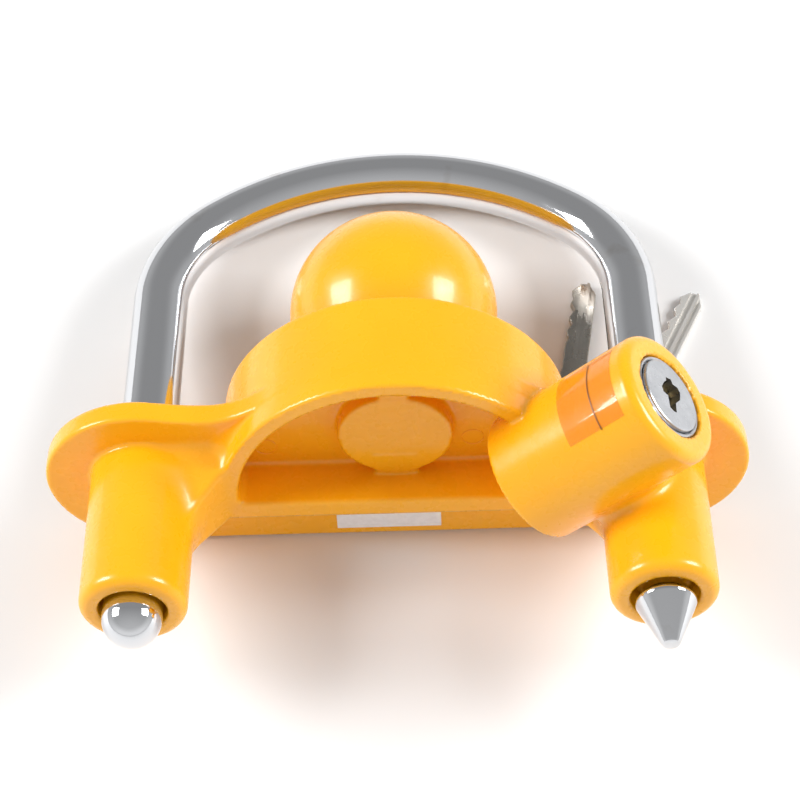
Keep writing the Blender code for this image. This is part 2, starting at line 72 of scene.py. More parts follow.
# The shackle's bar, and the arcs of its crest.
ROD_R = 6.35
LEG_X = 55.0
CREST_Y = 50.1
CREST_ARC_R = 68.7
CORNER_R = 32.6
NOTCH_COUNT = 7
NOTCH_PITCH = 6.6
NOTCH_FIRST_Y = -35.8
NOTCH_DEEP = 1.9

# The flange: two round ears, joined along the bottom by a straight strip.
PLATE_FRONT_Y = -41.7
PLATE_BACK_Y = -36.4
EAR_X = 55.4
EAR_Z = -1.7
EAR_R = 21.4
STRIP_LOW_Z = -23.1
STRIP_TOP_Z = -5.0

# The arch, whose rim stands out on both sides of the flange.
ARCH_Z = -4.0
ARCH_OUT_R = 38.5
ARCH_IN_R = 34.7
ARCH_FOOT_Z = -9.2
RIM_FRONT_Y = -47.0
RIM_BACK_Y = -22.0

# The recess in front, the hollow behind, and the disc on the recess's floor.
POCKET_LOW_Z = -4.1
POCKET_FLOOR_Y = -35.7
HOLLOW_FLOOR_Y = -31.0
DISC_Z = 9.0
DISC_R = 12.5
DISC_FACE_Y = -39.7
DISC_ROOT_Y = -33.0
SPIGOT_HOLE_R = 6.1
SPIGOT_HOLE_END_Y = -37.4

# The bosses round the legs, and the sloping webs between them and the arch.
BOSS_R = 11.3
BOSS_DRAFT = 0.008
BOSS_END_Y = -77.2
BOSS_ROOT_Y = -39.0
BORE_R = 7.2
WEB_X = 37.0
WEB_Y = -47.5
WEB_FACE = (-0.747, -0.664)
WEB_TOP_Z = 10.6
WEB_TOP_FALL = 0.47
WEB_TOP_COS = 0.905

# The cylinder's housing, along N.
HOUSING_R = 14.5
HOUSING_FACE = 22.4
HOUSING_END = -15.3
CYLINDER_BORE_R = 9.5
WELL_END = -6.0
CROSS_HOLE_R = 3.4
PIN_HOLE_R = 1.33
PIN_N = 14.0

# The lock cylinder, along N.
SHELL_R = 9.3
SHELL_SEAT_R = 8.4
SHELL_BORE_R = 6.1
SHELL_BACK = 8.0
SEAT_BACK = 20.8
GROOVE_TOP = 20.2
PLUG_R = 5.9
PLUG_HEAD_R = 8.2
PLUG_HEAD_BACK = 21.0
PLUG_FACE = 22.5
WAFER_TURN = math.radians(16.0)
WAFER_COUNT = 6
WAFER_TOP = 19.2
WAFER_PITCH = 1.95
SLOT_THICK = 1.5

# The ball, its neck, and the spigot that holds it in the flange.
BALL_Y = -4.0
BALL_R = 23.45
NECK_R = 12.7
NECK_ROOT_Y = -30.9
SPIGOT_R = 6.0
SPIGOT_END_Y = -37.2

# The film on the housing, along N.
FILM_FROM = 4.3
FILM_TO = 18.3
FILM_LINE = 12.3

# The keys, from the middle of the bow.
KEY_BOW_R = 7.8
KEY_HALF = 2.9
KEY_SHOULDER = 8.6
KEY_TIP = 33.2
KEY_THICK = 2.2
KEY_EDGE = 0.22


def lock_to_world(points):
    """World points in metres from the lock's own frame in millimetres, leaning as it lies on the table."""
    return ((np.asarray(points, float) - FLANGE_BOTTOM) @ LEAN.T) * MM


def bore_to_lock(points):
    """Points of the cylinder's (U, V, N) frame in the lock's own frame."""
    p = np.asarray(points, float)
    return FOOT + p[:, :1] * AXIS_U + p[:, 1:2] * AXIS_V + p[:, 2:] * AXIS_N


def bore_to_world(points):
    return lock_to_world(bore_to_lock(points))


# ---------------------------------------------------------------- materials
class Nodes:
    """Short calls for building one material's node tree."""

    def __init__(self, name):
        self.mat = bpy.data.materials.new(name)
        self.mat.use_nodes = True
        self.tree = self.mat.node_tree
        self.shader = self.tree.nodes["Principled BSDF"]
        self.coord = self.tree.nodes.new("ShaderNodeTexCoord").outputs["Object"]

    def set(self, **values):
        for key, value in values.items():
            self.shader.inputs[key.replace("_", " ")].default_value = value

    def link(self, out, socket):
        self.tree.links.new(out, socket)

    def noise(self, scale, detail=3.0, rough=0.5, stretch=None):
        node = self.tree.nodes.new("ShaderNodeTexNoise")
        node.inputs["Scale"].default_value = scale
        node.inputs["Detail"].default_value = detail
        node.inputs["Roughness"].default_value = rough
        source = self.coord
        if stretch:
            mapping = self.tree.nodes.new("ShaderNodeMapping")
            mapping.inputs["Scale"].default_value = stretch
            self.link(self.coord, mapping.inputs["Vector"])
            source = mapping.outputs["Vector"]
        self.link(source, node.inputs["Vector"])
        return node.outputs["Fac"]

    def voronoi(self, scale):
        node = self.tree.nodes.new("ShaderNodeTexVoronoi")
        node.feature = "F1"
        node.inputs["Scale"].default_value = scale
        self.link(self.coord, node.inputs["Vector"])
        return node.outputs["Distance"]

    def ramp(self, value, stops):
        node = self.tree.nodes.new("ShaderNodeValToRGB")
        self.link(value, node.inputs["Fac"])
        elements = node.color_ramp.elements
        while len(elements) < len(stops):
            elements.new(0.5)
        for element, (place, colour) in zip(elements, stops):
            element.position = place
            element.color = (*colour, 1.0)
        return node.outputs["Color"]

    def spread(self, value, low, high, to_low, to_high):
        node = self.tree.nodes.new("ShaderNodeMapRange")
        for key, number in zip(("From Min", "From Max", "To Min", "To Max"), (low, high, to_low, to_high)):
            node.inputs[key].default_value = number
        self.link(value, node.inputs["Value"])
        return node.outputs["Result"]

    def mix(self, factor, first, second):
        node = self.tree.nodes.new("ShaderNodeMix")
        node.data_type = "RGBA"
        self.link(factor, node.inputs["Factor"])
        for socket, item in ((node.inputs["A"], first), (node.inputs["B"], second)):
            if isinstance(item, tuple):
                socket.default_value = (*item, 1.0)
            else:
                self.link(item, socket)
        return node.outputs["Result"]

    def product(self, first, second):
        node = self.tree.nodes.new("ShaderNodeMath")
        node.operation = "MULTIPLY"
        self.link(first, node.inputs[0])
        self.link(second, node.inputs[1])
        return node.outputs["Value"]

    def bump(self, height, strength, distance, under=None):
        node = self.tree.nodes.new("ShaderNodeBump")
        node.inputs["Strength"].default_value = strength
        node.inputs["Distance"].default_value = distance
        self.link(height, node.inputs["Height"])
        if under:
            self.link(under, node.inputs["Normal"])
        return node.outputs["Normal"]

    def finish(self, colour=None, roughness=None, normal=None):
        if colour:
            self.link(colour, self.shader.inputs["Base Color"])
        if roughness:
            self.link(roughness, self.shader.inputs["Roughness"])
        if normal:
            self.link(normal, self.shader.inputs["Normal"])
        return self.mat


def make_paint():
    """Glossy yellow powder coat: faint orange peel, slight clouding and a few dark specks of grit."""
    n = Nodes("yellow_powder_coat")
    n.set(IOR=1.48, Coat_Weight=0.22, Coat_Roughness=0.06)
    cloud = n.noise(40.0, 3.0)
    colour = n.ramp(cloud, [(0.3, (0.93, 0.405, 0.003)), (0.7, (0.96, 0.440, 0.006))])
    specks = n.ramp(n.voronoi(170.0), [(0.0, (1, 1, 1)), (0.035, (0, 0, 0))])
    rare = n.ramp(n.noise(24.0, 1.0), [(0.66, (0, 0, 0)), (0.70, (1, 1, 1))])
    colour = n.mix(n.product(specks, rare), colour, (0.10, 0.045, 0.015))
    rough = n.spread(n.noise(300.0, 2.0), 0.3, 0.7, 0.24, 0.32)
    normal = n.bump(n.noise(520.0, 2.0), 0.05, 0.0004, n.bump(n.noise(110.0, 2.0), 0.06, 0.001))
    return n.finish(colour, rough, normal)


def make_chrome():
    """Bright chrome on drawn bar: fine lengthwise lines, and a few rubs where the finish is duller."""
    n = Nodes("chrome_plate")
    n.set(Metallic=1.0)
    rub = n.ramp(n.noise(60.0, 4.0), [(0.64, (0, 0, 0)), (0.74, (1, 1, 1))])
    colour = n.mix(rub, (0.72, 0.73, 0.75), (0.60, 0.58, 0.56))
    rough = n.spread(n.noise(90.0, 5.0, 0.6, (3.0, 0.4, 3.0)), 0.3, 0.8, 0.035, 0.13)
    normal = n.bump(n.noise(700.0, 2.0, 0.5, (1.0, 0.12, 1.0)), 0.03, 0.0003)
    return n.finish(colour, rough, normal)


def make_metal(name, low, high, rough, scale=300.0, stretch=None, metallic=1.0):
    """Plain or plated metal with a fine turned or tumbled surface."""
    n = Nodes(name)
    n.set(Metallic=metallic)
    colour = n.ramp(n.noise(scale, 4.0, 0.6, stretch), [(0.3, low), (0.7, high)])
    value = n.spread(n.noise(scale * 1.7, 3.0), 0.3, 0.7, rough - 0.07, rough + 0.09)
    normal = n.bump(n.noise(scale * 3.0, 3.0, 0.5, stretch), 0.08, 0.0003)
    return n.finish(colour, value, normal)


def make_paper():
    n = Nodes("white_label")
    colour = n.ramp(n.noise(900.0, 4.0), [(0.35, (0.80, 0.79, 0.80)), (0.65, (0.88, 0.87, 0.88))])
    rough = n.spread(n.noise(500.0, 2.0), 0.3, 0.7, 0.38, 0.52)
    return n.finish(colour, rough, n.bump(n.noise(1500.0, 3.0), 0.10, 0.0002))


def make_film():
    n = Nodes("clear_film")
    n.set(Alpha=0.30, IOR=1.5, Coat_Weight=1.0, Coat_Roughness=0.03)
    colour = n.ramp(n.noise(90.0, 3.0), [(0.3, (0.95, 0.30, 0.01)), (0.7, (0.98, 0.38, 0.02))])
    rough = n.spread(n.noise(250.0, 3.0), 0.3, 0.7, 0.04, 0.10)
    return n.finish(colour, rough, n.bump(n.noise(140.0, 2.0), 0.06, 0.0006))


def make_print():
    n = Nodes("dark_print")
    colour = n.ramp(n.noise(2500.0, 2.0), [(0.3, (0.16, 0.06, 0.015)), (0.7, (0.22, 0.09, 0.02))])
    return n.finish(colour, n.spread(n.noise(800.0), 0.3, 0.7, 0.3, 0.45))


PAINT = make_paint()
CHROME = make_chrome()
ZINC = make_metal("satin_zinc", (0.42, 0.43, 0.45), (0.52, 0.53, 0.55), 0.30)
STEEL = make_metal("plain_steel", (0.40, 0.40, 0.42), (0.54, 0.54, 0.56), 0.38, 220.0)
SPRING = make_metal("spring_steel", (0.28, 0.28, 0.30), (0.42, 0.42, 0.45), 0.34, 350.0)
BRASS = make_metal("brass_wafer", (0.62, 0.44, 0.17), (0.76, 0.58, 0.27), 0.33, 260.0)
ALONG_KEY = (1.0, 0.3, 1.0)
WORN_KEY = make_metal("worn_nickel_key", (0.30, 0.27, 0.23), (0.52, 0.49, 0.44), 0.26, 120.0, ALONG_KEY)
BRIGHT_KEY = make_metal("bright_nickel_key", (0.78, 0.76, 0.72), (0.92, 0.90, 0.86), 0.20, 120.0, ALONG_KEY, 0.6)
PAPER = make_paper()
FILM = make_film()
PRINT = make_print()


# ---------------------------------------------------------------- mesh helpers
def piece(name, verts, faces, skin, body, replaces=(), sharp=32.0):
    """A visible piece with world vertices in metres, riding on one body."""
    data = bpy.data.meshes.new(name)
    data.from_pydata([tuple(v) for v in verts], [], faces)
    work = bmesh.new()
    work.from_mesh(data)
    bmesh.ops.remove_doubles(work, verts=work.verts, dist=1e-7)
    bmesh.ops.recalc_face_normals(work, faces=work.faces)
    work.to_mesh(data)
    work.free()
    return dress(name, data, skin, body, replaces, sharp)


def dress(name, data, skin, body, replaces=(), sharp=None):
    """An object of the mesh, in one material, smooth up to the sharp angle, riding on the body."""
    obj = bpy.data.objects.new(name, data)
    bpy.context.scene.collection.objects.link(obj)
    data.materials.append(skin)
    smooth(data, sharp)
    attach(obj, body)
    if replaces:
        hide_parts(*replaces)
    return obj


def smooth(data, sharp):
    """Smooth shading, broken at edges sharper than an angle in degrees if one is given."""
    for face in data.polygons:
        face.use_smooth = True
    if sharp:
        data.set_sharp_from_angle(angle=math.radians(sharp))


def prism(outline, low, high):
    """Verts and faces of a closed (a, b) outline pushed along the third axis."""
    count = len(outline)
    verts = [(a, b, low) for a, b in outline] + [(a, b, high) for a, b in outline]
    faces = [tuple(range(count)), tuple(range(2 * count - 1, count - 1, -1))]
    faces += [(i, (i + 1) % count, (i + 1) % count + count, i + count) for i in range(count)]
    return np.array(verts), faces


def bevelled_prism(outline, low, high, edge):
    """A prism whose two end faces are inset by edge, for a small chamfer all round."""
    points = np.array(outline)
    after = np.roll(points, -1, axis=0) - points
    before = points - np.roll(points, 1, axis=0)
    after /= np.linalg.norm(after, axis=1)[:, None]
    before /= np.linalg.norm(before, axis=1)[:, None]
    inward = np.stack([-(after + before)[:, 1], (after + before)[:, 0]], axis=1)
    inward /= np.linalg.norm(inward, axis=1)[:, None]
    following = np.roll(points, -1, axis=0)
    area = 0.5 * np.sum(points[:, 0] * following[:, 1] - following[:, 0] * points[:, 1])
    inner = points + inward * edge * (1 if area > 0 else -1)
    layers = [(inner, low), (points, low + edge), (points, high - edge), (inner, high)]
    verts = np.concatenate([np.column_stack([p, np.full(len(p), h)]) for p, h in layers])
    count = len(points)
    faces = [tuple(range(count)), tuple(range(4 * count - 1, 3 * count - 1, -1))]
    for k in range(3):
        for i in range(count):
            j = (i + 1) % count
            faces.append((k * count + i, k * count + j, (k + 1) * count + j, (k + 1) * count + i))
    return verts, faces


def turned(profile, steps=96):
    """Verts and faces of a (radius, height) profile swung round the third axis."""
    verts, rings = [], []
    for radius, height in profile:
        if radius < 1e-9:
            rings.append([len(verts)])
            verts.append((0.0, 0.0, height))
            continue
        rings.append(list(range(len(verts), len(verts) + steps)))
        for i in range(steps):
            angle = 2 * math.pi * i / steps
            verts.append((radius * math.cos(angle), radius * math.sin(angle), height))
    pairs = list(zip(rings, rings[1:]))
    if profile[0][0] > 1e-9:
        pairs.append((rings[-1], rings[0]))
    return np.array(verts), bridge(pairs, steps)


def bridge(pairs, steps):
    """Faces between neighbouring rings of vertex numbers, where a ring of one is a point."""
    faces = []
    for low, high in pairs:
        for i in range(steps):
            j = (i + 1) % steps
            if len(low) == 1:
                faces.append((low[0], high[j], high[i]))
            elif len(high) == 1:
                faces.append((low[i], low[j], high[0]))
            else:
                faces.append((low[i], low[j], high[j], high[i]))
    return faces


def arc(centre, radius, start, end, steps):
    """Points round a centre, between two angles in degrees."""
    angles = np.radians(np.linspace(start, end, steps + 1))
    return [(centre[0] + radius * math.cos(a), centre[1] + radius * math.sin(a)) for a in angles]


def cut(obj, verts, faces):
    """Cuts a closed mesh out of the object, keeping the result as plain mesh."""
    data = bpy.data.meshes.new("cutter")
    data.from_pydata([tuple(v) for v in verts], [], faces)
    work = bmesh.new()
    work.from_mesh(data)
    bmesh.ops.recalc_face_normals(work, faces=work.faces)
    work.to_mesh(data)
    work.free()
    cutter = bpy.data.objects.new("cutter", data)
    bpy.context.scene.collection.objects.link(cutter)
    step = obj.modifiers.new("cut", "BOOLEAN")
    step.operation = "DIFFERENCE"
    step.solver = "EXACT"
    step.object = cutter
    graph = bpy.context.evaluated_depsgraph_get()
    made = bpy.data.meshes.new_from_object(obj.evaluated_get(graph))
    obj.modifiers.clear()
    obj.data = made
    bpy.data.objects.remove(cutter)


# ---------------------------------------------------------------- the casting, as one blended solid
def round_union(a, b, r):
    """Union with a concave fillet of radius r where the two meet."""
    u = np.maximum(r - a, 0.0)
    v = np.maximum(r - b, 0.0)
    return np.maximum(r, np.minimum(a, b)) - np.sqrt(u * u + v * v)


def round_cut(a, b, r):
    """Overlap of a and b with a rounded outer edge of radius r."""
    return -round_union(-a, -b, r)


def ramp_between(value, low, high, at_low, at_high):
    """A smooth step from one number to another as the value goes from low to high."""
    share = np.clip((value - low) / (high - low), 0.0, 1.0)
    share = share * share * (3 - 2 * share)
    return at_low + (at_high - at_low) * share


def outside(value, low, high):
    """How far a coordinate is outside a range, negative within it."""
    return np.abs(value - (low + high) / 2) - (high - low) / 2


def flange_outline(ax, z, arch):
    """The flange seen from in front, with a wide fillet from each ear up to the arch."""
    ear = np.hypot(ax - EAR_X, z - EAR_Z) - EAR_R
    strip = np.maximum(np.maximum(ax - EAR_X, STRIP_LOW_Z - z), z - STRIP_TOP_Z)
    fillet = ramp_between(z, -4.0, 8.0, 0.3, 18.0)
    return round_union(np.minimum(ear, strip), np.maximum(arch, ARCH_FOOT_Z - z), fillet)


def flange_and_rim(ax, y, z, from_arch):
    """The flange with the arch's rim through it, filleted only where the flange goes on beyond the rim."""
    arch = from_arch - ARCH_OUT_R
    outline = flange_outline(ax, z, arch)
    plate = round_cut(outline, outside(y, PLATE_FRONT_Y, PLATE_BACK_Y), 0.9)
    rim = round_cut(round_cut(arch, ARCH_FOOT_Z - z, 1.2), outside(y, RIM_FRONT_Y, RIM_BACK_Y), 0.7)
    beyond = 0.6 * np.maximum(arch - outline, 0.0)
    return round_union(plate, rim, np.clip(beyond, 0.05, ramp_between(z, -6.0, 6.0, 1.5, 4.5)))


def sloping_web(ax, y, z):
    """The web from boss to arch: a slanted face, under a top that falls away from the flange."""
    slope = WEB_FACE[0] * (ax - WEB_X) + WEB_FACE[1] * (y - WEB_Y)
    top = (z - WEB_TOP_Z - WEB_TOP_FALL * (y - PLATE_FRONT_Y)) * WEB_TOP_COS
    web = round_cut(round_cut(slope, ARCH_FOOT_Z - z, 1.4), top, 1.0)
    return np.maximum(np.maximum(web, 31.0 - ax), np.maximum(y + 38.5, ax - 56.0))


def boss(ax, y, z):
    """The boss round each leg, with a slight draft."""
    radius = BOSS_R + BOSS_DRAFT * (y - BOSS_END_Y)
    return round_cut(np.hypot(ax - LEG_X, z) - radius, outside(y, BOSS_END_Y, BOSS_ROOT_Y), 2.2)


def recessed(solid, ax, y, z, from_arch):
    """The solid less the recess in front of the flange and the hollow behind it."""
    pocket = round_cut(round_cut(from_arch - ARCH_IN_R, POCKET_LOW_Z - z, 2.0), y - POCKET_FLOOR_Y, 1.2)
    solid = round_cut(solid, -pocket, 0.7)
    across = np.where(z > ARCH_Z, from_arch, ax)
    hollow = round_cut(across - ARCH_IN_R, HOLLOW_FLOOR_Y - y, 1.2)
    return round_cut(solid, -hollow, 1.0)


def with_disc(solid, x, y, z):
    """The solid with the recess's disc, the foot under it and the tab that joins it to the rim."""
    disc = np.hypot(x, z - DISC_Z) - DISC_R
    foot = np.maximum(np.abs(x + 0.1) - 4.8, np.abs(z + 1.5) - 4.5)
    tab = np.maximum(np.abs(x) - 3.3, np.abs(z - 26.0) - 8.0)
    for shape, face_y, edge, fillet in (
        (disc, DISC_FACE_Y, 0.7, 1.0),
        (foot, -39.4, 0.7, 0.8),
        (tab, -39.6, 0.6, 0.5),
    ):
        raised = np.maximum(round_cut(shape, face_y - y, edge), y - DISC_ROOT_Y)
        solid = round_union(solid, raised, fillet)
    return solid


def casting(p):
    """Signed distance, about, from the casting's surface at lock-frame points in millimetres."""
    x, y, z = p[:, 0], p[:, 1], p[:, 2]
    ax = np.abs(x)
    from_arch = np.hypot(x, z - ARCH_Z)
    solid = flange_and_rim(ax, y, z, from_arch)
    solid = round_union(solid, sloping_web(ax, y, z), ramp_between(z, -8.6, -2.0, 0.1, 1.6))
    solid = round_union(solid, boss(ax, y, z), ramp_between(y, -47.0, -42.5, 3.2, 1.0))
    solid = recessed(solid, ax, y, z, from_arch)
    solid = with_disc(solid, x, y, z)

    q = p - FOOT
    u, v, n = q @ AXIS_U, q @ AXIS_V, q @ AXIS_N
    housing = round_cut(np.hypot(u, v) - HOUSING_R, n - HOUSING_FACE, 2.2)
    housing = round_cut(housing, HOUSING_END - n, 0.9)
    near_arch = np.abs(from_arch - (ARCH_IN_R + ARCH_OUT_R) / 2)
    solid = round_union(solid, housing, ramp_between(near_arch, 2.0, 8.0, 0.8, 3.4))

    solid = round_cut(solid, BORE_R - np.hypot(ax - LEG_X, z), 0.7)
    solid = round_cut(solid, -np.maximum(np.hypot(u, v) - CYLINDER_BORE_R, WELL_END - n), 0.35)
    cross_hole = np.maximum(np.hypot(v, n) - CROSS_HOLE_R, 4.0 - u)
    pin_hole = np.maximum(np.hypot(u, n - PIN_N) - PIN_HOLE_R, 8.0 - v)
    spigot_hole = np.maximum(np.hypot(x, z - DISC_Z) - SPIGOT_HOLE_R, SPIGOT_HOLE_END_Y - y)
    for hole in (cross_hole, pin_hole, spigot_hole):
        solid = np.maximum(solid, -hole)
    return solid


def surface_of(field, low, high, step):
    """Points and quads on the zero surface of field, one point to each cell the surface crosses."""
    axes = [np.arange(a, b + step, step) for a, b in zip(low, high)]
    grid = np.empty([len(a) for a in axes], np.float32)
    yy, zz = np.meshgrid(axes[1], axes[2], indexing="ij")
    for i, x in enumerate(axes[0]):
        slab = np.column_stack([np.full(yy.size, x), yy.ravel(), zz.ravel()])
        grid[i] = field(slab).reshape(yy.shape)
    inside = grid < 0
    shape = tuple(n - 1 for n in grid.shape)
    corners = [(i, j, k) for i in (0, 1) for j in (0, 1) for k in (0, 1)]
    total = np.zeros(shape, np.int8)
    for i, j, k in corners:
        total += inside[i : i + shape[0], j : j + shape[1], k : k + shape[2]]
    cells = np.argwhere((total > 0) & (total < 8))
    values = {c: grid[tuple((cells + np.array(c)).T)] for c in corners}
    summed = np.zeros((len(cells), 3))
    hits = np.zeros(len(cells))
    for a in corners:
        for axis in range(3):
            if a[axis]:
                continue
            b = tuple(v + (1 if n == axis else 0) for n, v in enumerate(a))
            crossing = (values[a] < 0) != (values[b] < 0)
            share = np.where(crossing, values[a] / np.where(crossing, values[a] - values[b], 1.0), 0.0)
            point = np.array(a, float) + share[:, None] * (np.array(b) - np.array(a))
            summed[crossing] += point[crossing]
            hits += crossing
    points = np.array(low) + (cells + summed / hits[:, None]) * step
    number = np.full(shape, -1, np.int64)
    number[tuple(cells.T)] = np.arange(len(cells))
    quads = []
    for axis in range(3):
        other = [n for n in range(3) if n != axis]
        first = [slice(None)] * 3
        second = [slice(None)] * 3
        first[axis] = slice(0, -1)
        second[axis] = slice(1, None)
        change = inside[tuple(first)] != inside[tuple(second)]
        edges = np.argwhere(change)
        keep = (edges[:, other[0]] > 0) & (edges[:, other[1]] > 0)
        keep &= (edges[:, other[0]] < shape[other[0]]) & (edges[:, other[1]] < shape[other[1]])
        edges = edges[keep]
        starts = inside[tuple(edges.T)]
        ring = []
        for da, db in ((0, 0), (1, 0), (1, 1), (0, 1)):
            cell = edges.copy()
            cell[:, other[0]] -= da
            cell[:, other[1]] -= db
            ring.append(number[tuple(cell.T)])
        ring = np.stack(ring, axis=1)
        flip = starts if axis != 1 else ~starts
        ring[flip] = ring[flip][:, ::-1]
        quads.append(ring)
    return points, np.concatenate(quads)


def settle(field, points):
    """Moves points onto the zero surface and gives the outward normals there."""
    eps = 0.03
    rounds = 4
    for turn in range(rounds + 1):
        slope = np.empty_like(points)
        for axis in range(3):
            shift = np.zeros(3)
            shift[axis] = eps
            slope[:, axis] = (field(points + shift) - field(points - shift)) / (2 * eps)
        size = np.maximum(np.linalg.norm(slope, axis=1), 0.2)
        if turn < rounds:
            step = np.clip(field(points) / size, -0.25, 0.25)
            points = points - slope / size[:, None] * step[:, None]
    return points, slope / np.linalg.norm(slope, axis=1)[:, None]


GRID_STEP = 0.8
GRID_LOW = (-78.0, -79.0, -24.6)
GRID_HIGH = (78.0, -20.2, 43.5)
cast_points, cast_quads = surface_of(casting, GRID_LOW, GRID_HIGH, GRID_STEP)
cast_points, cast_normals = settle(casting, cast_points)
first, second, third = (cast_points[cast_quads[:, i]] for i in range(3))
facing = np.cross(second - first, third - first) * cast_normals[cast_quads[:, 0]]
if np.sum(facing) < 0:
    cast_quads = cast_quads[:, ::-1]
cast_mesh = bpy.data.meshes.new("cast_body")
cast_mesh.from_pydata(lock_to_world(cast_points).tolist(), [], cast_quads.tolist())
cast_mesh.validate()
smooth(cast_mesh, None)
cast_mesh.normals_split_custom_set_from_vertices((cast_normals @ LEAN.T).tolist())
dress("cast_body", cast_mesh, PAINT, "lock_body", ("body_casting",))


def ejector_mark(number, x, z):
    """The faint ring an ejector pin leaves on the recess floor."""
    profile = [(2.55, -0.3), (2.5, 0.1), (2.4, 0.16), (2.3, 0.1), (2.25, -0.3)]
    verts, faces = turned(profile, 64)
    verts = np.column_stack([verts[:, 0] + x, POCKET_FLOOR_Y - verts[:, 2], verts[:, 1] + z])
    piece(f"ejector_mark_{number}", lock_to_world(verts), faces, PAINT, "lock_body")


ejector_mark(1, -28.6, 1.9)
ejector_mark(2, 16.8, 3.4)

# ---------------------------------------------------------------- the dummy ball
neck = math.degrees(math.acos(NECK_R / BALL_R))
ball_profile = [(0.0, SPIGOT_END_Y), (SPIGOT_R, SPIGOT_END_Y), (SPIGOT_R, NECK_ROOT_Y), (NECK_R, NECK_ROOT_Y)]
for angle in np.radians(np.linspace(-neck, 89.9, 72)):
    ball_profile.append((BALL_R * math.cos(angle), BALL_Y + BALL_R * math.sin(angle)))
ball_profile.append((0.0, BALL_Y + BALL_R))
ball_verts, ball_faces = turned(ball_profile, 128)
ball_verts = np.column_stack([ball_verts[:, 0], ball_verts[:, 2], ball_verts[:, 1] + DISC_Z])
piece("tow_ball", lock_to_world(ball_verts), ball_faces, PAINT, "lock_body",
      ("coupler_ball",), sharp=40.0)


# ---------------------------------------------------------------- the shackle
def shackle_stations():
    """(x, y), direction of travel and radius, from the domed tip round to the coned tip."""
    corner_x = LEG_X - CORNER_R
    big_y = CREST_Y - CREST_ARC_R
    corner_y = big_y + math.sqrt((CREST_ARC_R - CORNER_R) ** 2 - corner_x**2)
    join = math.degrees(math.atan2(corner_y - big_y, corner_x))
    found = []
    for angle in np.radians(np.linspace(90, 0, 19)):
        found.append((-LEG_X, -78.6 - ROD_R * math.sin(angle), 0.0, 1.0, max(ROD_R * math.cos(angle), 0.0)))
    for y in np.linspace(-74.0, corner_y - 1.0, 24):
        found.append((-LEG_X, y, 0.0, 1.0, ROD_R))
    for cx, cy, radius, start, end, steps in (
        (-corner_x, corner_y, CORNER_R, 180.0, 180.0 - join, 28),
        (0.0, big_y, CREST_ARC_R, 180.0 - join, join, 56),
        (corner_x, corner_y, CORNER_R, join, 0.0, 28),
    ):
        for angle in np.radians(np.linspace(start, end, steps + 1))[1:]:
            found.append((cx + radius * math.cos(angle), cy + radius * math.sin(angle),
                          math.sin(angle), -math.cos(angle), ROD_R))
    for y in np.linspace(corner_y - 2.0, -30.0, 14):
        found.append((LEG_X, y, 0.0, -1.0, ROD_R))
    low = ROD_R - NOTCH_DEEP
    side = [(2.75, ROD_R), (2.5, ROD_R - 0.12), (0.8, low + 0.05), (0.5, low)]
    notch = side + [(-dy, r) for dy, r in reversed(side)]
    for i in range(NOTCH_COUNT):
        middle = NOTCH_FIRST_Y - NOTCH_PITCH * i
        for dy, r in notch:
            found.append((LEG_X, middle + dy, 0.0, -1.0, r))
    end_r = 1.9
    for y, r in ((-78.7, ROD_R), (-79.0, ROD_R - 0.12), (-79.2, ROD_R - 0.27), (-88.1, end_r + 0.1),
                 (-88.4, end_r - 0.15), (-88.6, end_r - 0.6), (-88.6, 0.0)):
        found.append((LEG_X, y, 0.0, -1.0, r))
    return found


def swept(stations, steps):
    """A round bar through the stations, pointed wherever the radius is nothing."""
    verts, rings = [], []
    for x, y, tx, ty, r in stations:
        if r < 1e-6:
            rings.append([len(verts)])
            verts.append((x, y, 0.0))
            continue
        rings.append(list(range(len(verts), len(verts) + steps)))
        for i in range(steps):
            angle = 2 * math.pi * i / steps
            across = r * math.cos(angle)
            verts.append((x - ty * across, y + tx * across, r * math.sin(angle)))
    return np.array(verts), bridge(list(zip(rings, rings[1:])), steps)


bar_verts, bar_faces = swept(shackle_stations(), 64)
piece("u_shackle", lock_to_world(bar_verts), bar_faces, CHROME, "shackle", ("shackle",),
      sharp=24.0)

# ---------------------------------------------------------------- the lock cylinder
CYLINDER_SHARP = 28.0


def slot_outline(half_wide, half_long, turn):
    """Corners of a slot centred on the cylinder's axis, turned about it."""
    cos, sin = math.cos(turn), math.sin(turn)
    outline = []
    for side, end in ((-1, -1), (1, -1), (1, 1), (-1, 1)):
        a, b = side * half_wide, end * half_long
        outline.append((cos * a - sin * b, sin * a + cos * b))
    return outline


def cut_along_bore(obj, outline, low, high):
    """Cuts a (U, V) outline out of the object between two places along N."""
    verts, faces = prism(outline, low, high)
    cut(obj, bore_to_world(verts), faces)


shell_profile = [
    (SHELL_R, SHELL_BACK),
    (SHELL_R, 21.55),
    (SHELL_R - 0.08, 21.8),
    (SHELL_R - 0.3, 21.95),
    (SHELL_R - 0.6, 21.9),
    (SHELL_SEAT_R + 0.05, 21.7),
    (SHELL_SEAT_R, 21.5),
    (SHELL_SEAT_R, SEAT_BACK),
    (SHELL_BORE_R, SEAT_BACK),
    (SHELL_BORE_R, SHELL_BACK),
]
shell_verts, shell_faces = turned(shell_profile)
shell = piece("lock_shell", bore_to_world(shell_verts), shell_faces, ZINC, "lock_body",
              ("cylinder_shell",), sharp=CYLINDER_SHARP)
for turn in (WAFER_TURN, WAFER_TURN + math.pi / 2):
    cut_along_bore(shell, slot_outline(3.45, 7.3, turn), SHELL_BACK - 1.0, GROOVE_TOP)
smooth(shell.data, CYLINDER_SHARP)

